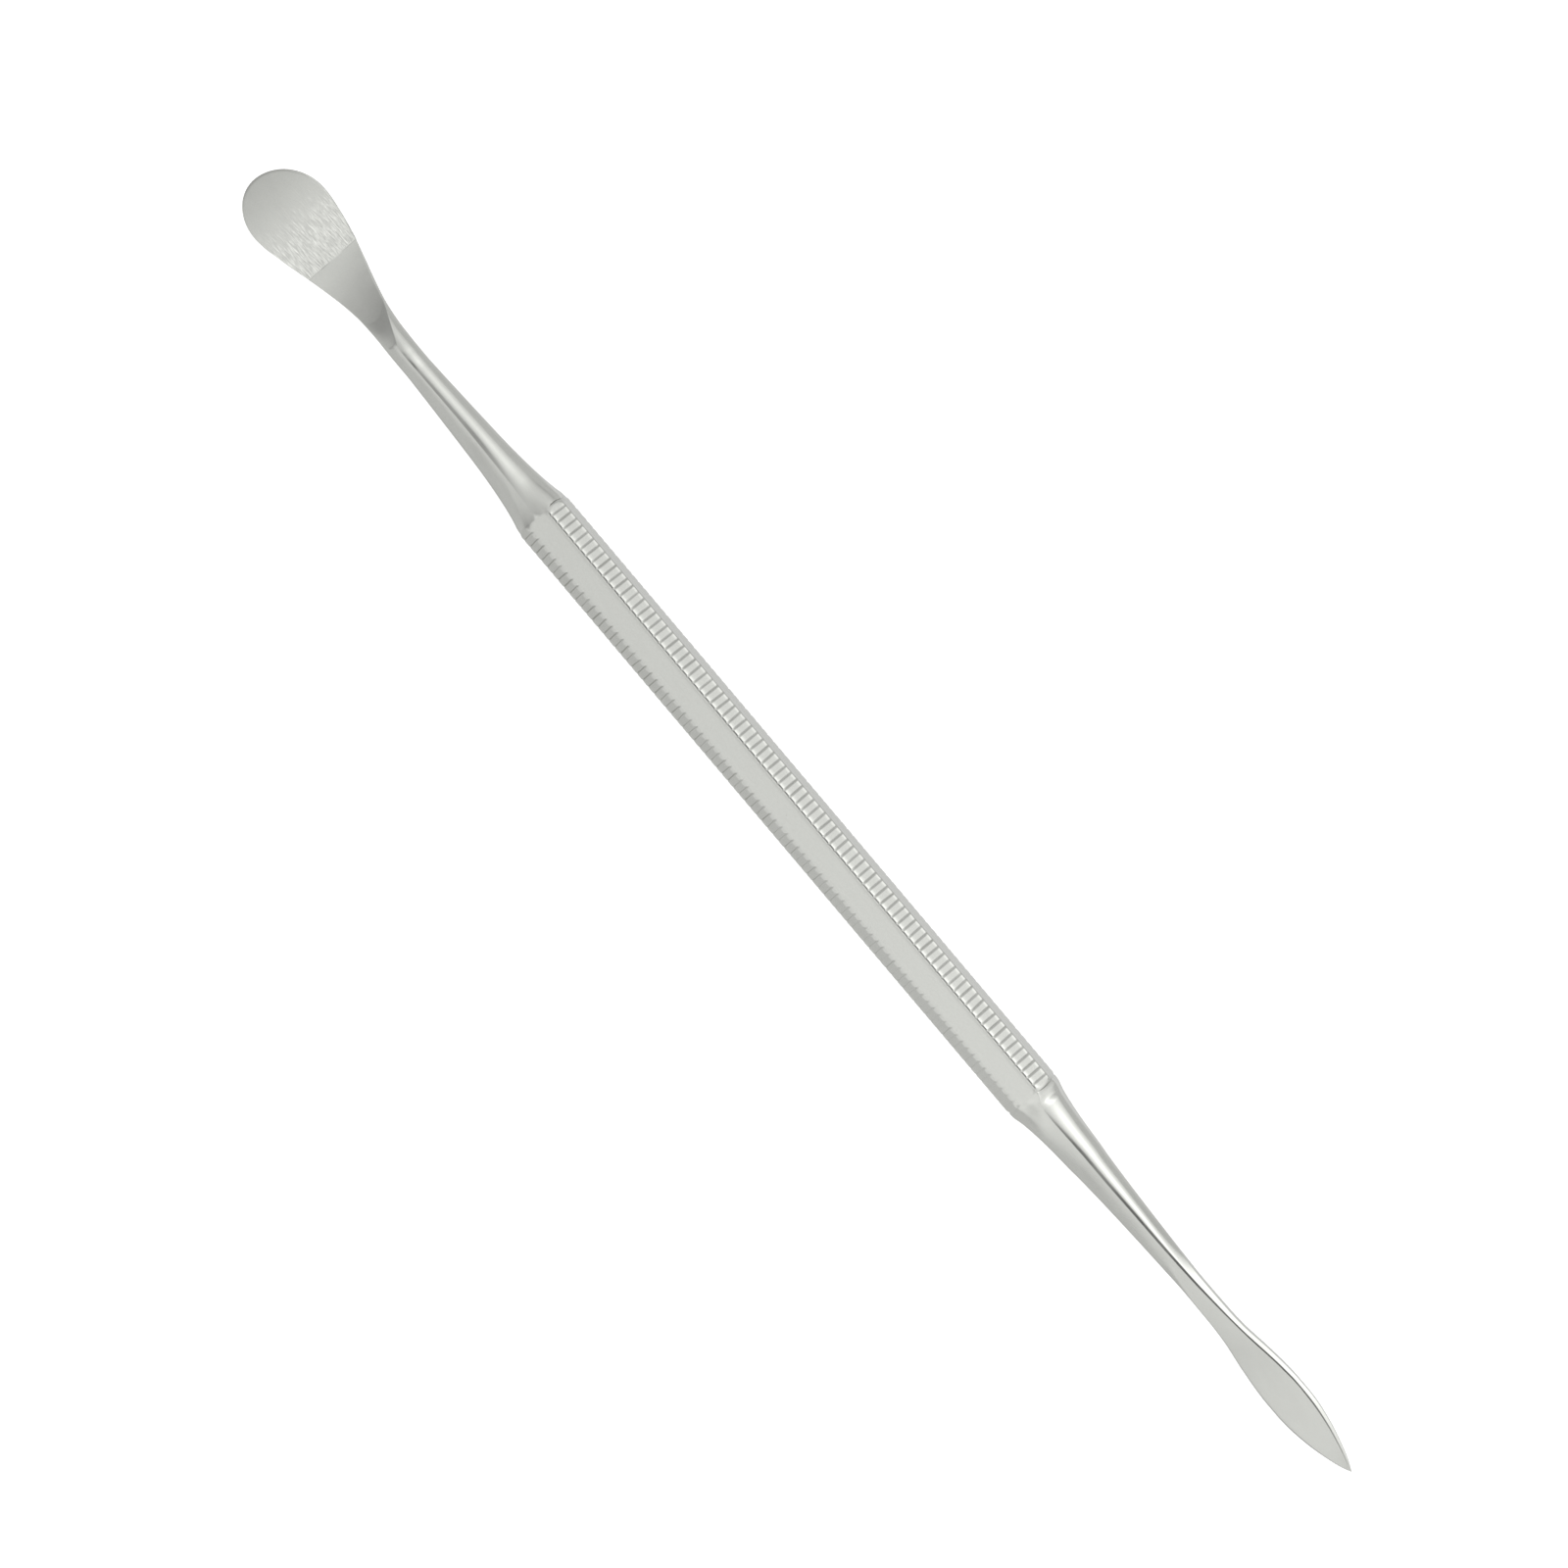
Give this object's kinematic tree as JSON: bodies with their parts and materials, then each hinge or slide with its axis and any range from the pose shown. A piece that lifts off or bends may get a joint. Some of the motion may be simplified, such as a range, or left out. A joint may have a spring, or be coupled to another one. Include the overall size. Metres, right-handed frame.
{
  "type": "cuticle pusher",
  "caption": "Slim steel nail-care hand tool: a ribbed octagonal handle with a dished spoon pusher at one end and a flat pointed lancet scraper at the other.",
  "frame": {"origin": "Centre of the handle's lower flat, half way along the ribbed handle", "axes": "+X along the tool from the spoon to the lancet, +Z out of the upper flat, the side the spoon's hollow looks to, +Y completes the right-handed set, across the tool"},
  "size_m": [0.145, 0.0076, 0.0048],
  "materials": {
    "handle_steel": "satin",
    "spoon_steel": "satin, ground lengthwise",
    "lancet_steel": "satin, ground across the blade"
  },
  "bodies": {
    "root": {"ribbed_handle": "handle_steel", "spoon_pusher": "spoon_steel", "lancet_scraper": "lancet_steel"}
  },
  "joints": []
}
